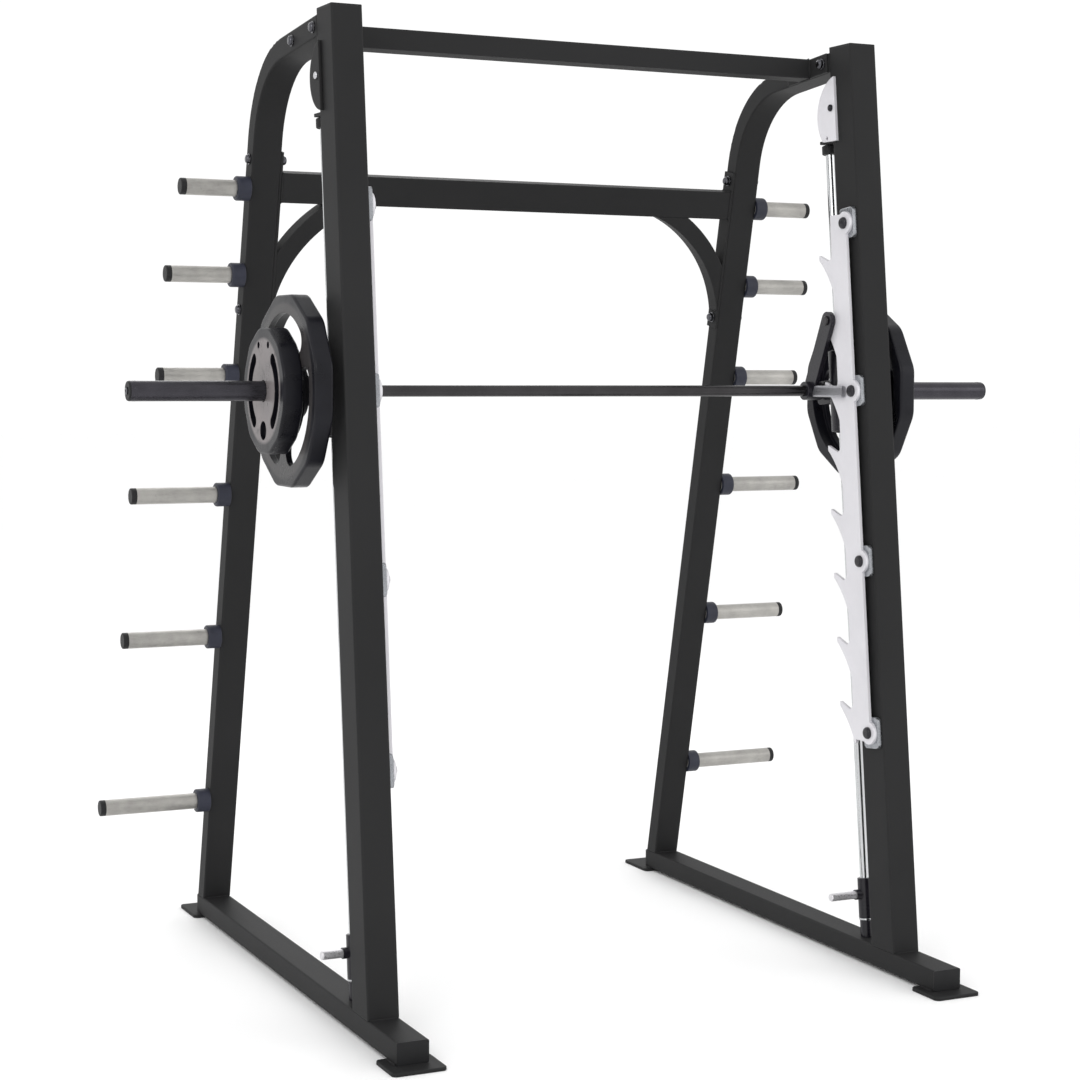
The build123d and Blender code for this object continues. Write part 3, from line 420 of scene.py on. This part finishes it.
def bead(bm, points, radius, closed=False):
    """Weld bead: a thin tube with a regular ripple, along a path."""
    corner_count = 6
    step = 2.2 * MM
    # the ripple repeats every third ring, and a second wave keeps it from looking machined
    ripple, drift, end_size = 0.22, 0.08, 0.4
    path = spaced(points, step, closed)
    count = len(path)
    rings = []
    for i, point in enumerate(path):
        before = path[i - 1] if (closed or i) else path[0]
        after = path[(i + 1) % count] if (closed or i < count - 1) else path[-1]
        along = (after - before).normalized()
        side = along.orthogonal().normalized()
        other = along.cross(side)
        size = radius * (1 + ripple * math.sin(i * math.tau / 3.0) + drift * math.sin(i * 1.7))
        if not closed and i in (0, count - 1):
            size *= end_size
        ring = []
        for t in range(corner_count):
            angle = t * math.tau / corner_count
            place = point + side * size * math.cos(angle) + other * size * math.sin(angle)
            ring.append(bm.verts.new(place))
        rings.append(ring)
    pairs = list(zip(rings, rings[1:])) + ([(rings[-1], rings[0])] if closed else [])
    for a, b in pairs:
        # neighbouring rings may be turned about the path, so join nearest corners
        turn = min(range(corner_count), key=lambda k: (a[0].co - b[k].co).length)
        gap_on = (a[1].co - b[(turn + 1) % corner_count].co).length
        gap_back = (a[1].co - b[(turn - 1) % corner_count].co).length
        sign = -1 if gap_on > gap_back else 1
        for t in range(corner_count):
            here = (turn + sign * t) % corner_count
            ahead = (turn + sign * (t + 1)) % corner_count
            bm.faces.new((a[t], a[(t + 1) % corner_count], b[ahead], b[here]))
    if not closed:
        for ring in (rings[0], rings[-1]):
            bm.faces.new(ring)


def turned(bm, origin, axis, profile, sides=40):
    """Solid of revolution about an axis; profile is (along, radius) pairs from end to end."""
    axis = Vector(axis).normalized()
    side = axis.orthogonal().normalized()
    other = axis.cross(side)
    angles = [t * math.tau / sides for t in range(sides)]
    rings = []
    for along, radius in profile:
        centre = Vector(origin) + axis * along
        rings.append([
            bm.verts.new(centre + (side * math.cos(angle) + other * math.sin(angle)) * radius)
            for angle in angles
        ])
    for a, b in zip(rings, rings[1:]):
        for t in range(sides):
            bm.faces.new((a[t], a[(t + 1) % sides], b[(t + 1) % sides], b[t]))
    return rings


def frame_welds(side):
    """Beads where a side frame's posts, base rail, foot plates and top arm meet."""
    wide, narrow = 2.6 * MM, 2.4 * MM
    inset = 6 * MM
    rail_low, rail_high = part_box(f"base_rail_{side}")
    x_low, x_high = rail_low[0] + inset, rail_high[0] - inset
    bm = bmesh.new()
    for node in (f"front_post_{side}", f"rear_post_{side}"):
        low, high = section(node, 2, rail_high[2] + MM)
        for y in (low.y, high.y):
            ends = [Vector((x, y, rail_high[2])) for x in (x_low, x_high)]
            bead(bm, ends, wide)
    for foot in ("foot_plates_front", "foot_plates_rear"):
        foot_low, foot_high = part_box(foot)
        y_low = max(foot_low[1], rail_low[1]) + inset
        y_high = min(foot_high[1], rail_high[1]) - inset
        for x in (rail_low[0], rail_high[0]):
            bead(bm, [Vector((x, y, rail_low[2])) for y in (y_low, y_high)], narrow)
    # the top arm ends on the post's rear face, which leans
    arm_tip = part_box(f"rear_post_{side}")[0][1] + 12 * MM
    arm_low, arm_high = section(f"rear_post_{side}", 1, arm_tip)
    post_rear = section(f"front_post_{side}", 2, arm_low.z)[1].y
    rise = lean_up.y / lean_up.z
    for z in (arm_low.z, arm_high.z):
        y = post_rear + rise * (z - arm_low.z)
        bead(bm, [Vector((x_low, y, z)), Vector((x_high, y, z))], wide)
    add_piece(f"weld_beads_{side}", bm, "frame", materials["frame_paint"])


def crossbar_weld(node, end_x, side, sign):
    """Bead around one end of a crossbar, where its end plate starts."""
    mesh = frame["nodes"][node].data
    ends = [v.co for v in mesh.vertices if abs(v.co.x - end_x) < 0.01 * MM]
    centre = sum(ends, Vector()) / len(ends)
    widest = max((p - centre).length for p in ends)
    outline = [p for p in ends if (p - centre).length > widest - 5 * MM]
    outline.sort(key=lambda p: math.atan2(p.z - centre.z, p.y - centre.y))
    bm = bmesh.new()
    bead(bm, [p - Vector((sign * MM, 0, 0)) for p in outline], 2.2 * MM, closed=True)
    add_piece(f"weld_{node}_{side}", bm, "frame", materials["frame_paint"])


def bolt_sockets(node, prefix, socket_r, side, sign):
    """Hex sockets in the heads of one side's bolts, on their faces nearest the centre; each is a
    thin hex lip round a black floor that stands, as painted shade, for the socket's hollow.
    """
    own_side = [v.co for v in frame["nodes"][node].data.vertices if v.co.x * sign > 0]
    inner = min(abs(p.x) for p in own_side)
    # points less than 30 mm apart belong to one head
    heads = []
    for tip in (p for p in own_side if abs(abs(p.x) - inner) < 0.05 * MM):
        for head in heads:
            if (head[0] - tip).length < 30 * MM:
                head.append(tip)
                break
        else:
            heads.append([tip])
    bm = bmesh.new()
    for head in heads:
        low, high = corners(head)
        rim = turned(
            bm, (low + high) / 2, (-sign, 0, 0),
            [
                (-0.4 * MM, socket_r + 0.9 * MM),
                (0.5 * MM, socket_r + 0.6 * MM),
                (0.5 * MM, socket_r),
                (0.05 * MM, socket_r - 0.3 * MM),
            ],
            sides=6,
        )
        bm.faces.new(rim[-1])
    # the black on the shallow floor is painted shade for the depth of each socket
    slot = "black_paint"
    add_piece(f"{prefix}s_{side}", bm, "frame", materials[slot], smooth=False)


def seal_lips(side):
    """A rubber lip around the rod at each end of a carriage."""
    rod_low, rod_high = section(f"guide_rod_{side}", 2, bar_centre.z)
    rod = (rod_low + rod_high) / 2
    rod_r = (rod_high.x - rod_low.x) / 2
    # the housing leans, so the top of its box is a corner that stands above its end face
    housing_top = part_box(f"carriage_{side}")[1][2]
    half_depth = 2.6 * rod_r
    half = (housing_top - bar_centre.z) / lean_up.z - half_depth * lean_up.y
    for end, label in ((1, "top"), (-1, "low")):
        bm = bmesh.new()
        turned(
            bm, rod + lean_up * (end * half), lean_up * end,
            [
                (-1.5 * MM, rod_r + 10.5 * MM),
                (1.6 * MM, rod_r + 10.0 * MM),
                (2.4 * MM, rod_r + 9.0 * MM),
                (2.4 * MM, rod_r + 4.0 * MM),
                (3.4 * MM, rod_r + 2.5 * MM),
                (3.0 * MM, rod_r + 0.5 * MM),
                (-1.0 * MM, rod_r + 0.4 * MM),
            ],
        )
        slot = "black_plastic"
        add_piece(f"seal_lip_{label}_{side}", bm, "carriages", materials[slot])


def sleeve_details(side, sign):
    """Two turned rings near a sleeve's outer end, and the hex screw in its cap."""
    low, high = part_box(f"bar_sleeve_{side}")
    sleeve_r = (high[2] - low[2]) / 2
    tip_x = max(abs(low[0]), abs(high[0])) * sign
    cap_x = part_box("sleeve_caps")[1][0] * sign
    outward = (sign, 0, 0)
    bm = bmesh.new()
    for inset in (9 * MM, 13 * MM):
        turned(
            bm, (tip_x - sign * inset, bar_centre.y, bar_centre.z), outward,
            [
                (-1.0 * MM, sleeve_r - 0.3 * MM),
                (-0.5 * MM, sleeve_r + 0.35 * MM),
                (0.5 * MM, sleeve_r + 0.35 * MM),
                (1.0 * MM, sleeve_r - 0.3 * MM),
            ],
            sides=64,
        )
    add_piece(f"sleeve_rings_{side}", bm, "barbell", materials["sleeve_metal"])
    bm = bmesh.new()
    rings = turned(
        bm, (cap_x, bar_centre.y, bar_centre.z), outward,
        [
            (-0.5 * MM, 9.5 * MM),
            (2.2 * MM, 9.5 * MM),
            (3.2 * MM, 8.4 * MM),
            (3.2 * MM, 4.4 * MM),
            (0.6 * MM, 4.0 * MM),
        ],
        sides=6,
    )
    bm.faces.new(rings[-1])
    slot = "bolt_chrome"
    add_piece(f"sleeve_screw_{side}", bm, "barbell", materials[slot], smooth=False)


for side, _ in SIDES:
    frame_welds(side)
for node in ("rear_crossbar", "top_crossbar"):
    for end, (side, sign) in zip(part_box(node), SIDES):
        crossbar_weld(node, end[0], side, sign)
for node, prefix, socket_r in (
    ("rack_bolts", "rack_socket", 4.6 * MM),
    ("gusset_bolts", "gusset_socket", 3.2 * MM),
):
    for side, sign in SIDES:
        bolt_sockets(node, prefix, socket_r, side, sign)
for side, sign in SIDES:
    seal_lips(side)
    sleeve_details(side, sign)

# ---------- floor, light, camera ----------
REACH = 40.0
floor_mesh = bpy.data.meshes.new("floor")
floor_mesh.from_pydata(
    [(-REACH, -REACH, 0), (REACH, -REACH, 0), (REACH, REACH, 0), (-REACH, REACH, 0)],
    [], [(0, 1, 2, 3)],
)
floor = bpy.data.objects.new("floor", floor_mesh)
bpy.context.collection.objects.link(floor)
floor.data.materials.append(
    surface(
        "floor_paint", (0.965, 0.965, 0.965), vary=0.01, roughness=(0.6, 0.75),
        cloud=0.8, grain=60.0, grain_strength=0.02,
    )
)

world = bpy.data.worlds.new("studio")
bpy.context.scene.world = world
world.use_nodes = True
background = world.node_tree.nodes["Background"]
background.inputs["Color"].default_value = (1.0, 1.0, 1.0, 1.0)
background.inputs["Strength"].default_value = 1.04


def area_light(name, place, power):
    """A 3 m square light aimed at the middle of the machine; power is in watts."""
    middle = Vector((0, 0, 1.2))
    data = bpy.data.lights.new(name, "AREA")
    data.shape = "SQUARE"
    data.size = 3.0
    data.energy = power
    lamp = bpy.data.objects.new(name, data)
    lamp.location = place
    aim = middle - Vector(place)
    lamp.rotation_euler = aim.to_track_quat("-Z", "Y").to_euler()
    bpy.context.collection.objects.link(lamp)


area_light("key", (-4.5, -4.5, 4.5), 80)
area_light("fill", (5.0, -3.5, 3.0), 40)
area_light("back", (1.0, 5.0, 4.0), 40)

# left of the front, at about bar height
CAMERA_PLACE = Vector((-2.49381, -5.19551, 1.52542))
CAMERA_YAW = math.radians(25.2965)
CAMERA_PITCH = math.radians(2.7862)
CAMERA_ROLL = math.radians(0.3384)
CAMERA_LENS = 74.6
CAMERA_SHIFT_UP = -0.064

back = Vector((
    -math.sin(CAMERA_YAW) * math.cos(CAMERA_PITCH),
    -math.cos(CAMERA_YAW) * math.cos(CAMERA_PITCH),
    math.sin(CAMERA_PITCH),
))
level_right = (-back).cross(Vector((0, 0, 1))).normalized()
level_up = back.cross(level_right)
right = level_right * math.cos(CAMERA_ROLL) + level_up * math.sin(CAMERA_ROLL)
up = level_up * math.cos(CAMERA_ROLL) - level_right * math.sin(CAMERA_ROLL)
camera_data = bpy.data.cameras.new("camera")
camera_data.sensor_width = 36.0
camera_data.lens = CAMERA_LENS
camera_data.shift_y = CAMERA_SHIFT_UP
camera_data.clip_end = 60.0
camera = bpy.data.objects.new("camera", camera_data)
turn = Matrix((right, up, back)).transposed().to_4x4()
camera.matrix_world = Matrix.Translation(CAMERA_PLACE) @ turn
bpy.context.collection.objects.link(camera)
bpy.context.scene.camera = camera
bpy.context.scene.view_settings.view_transform = "Standard"
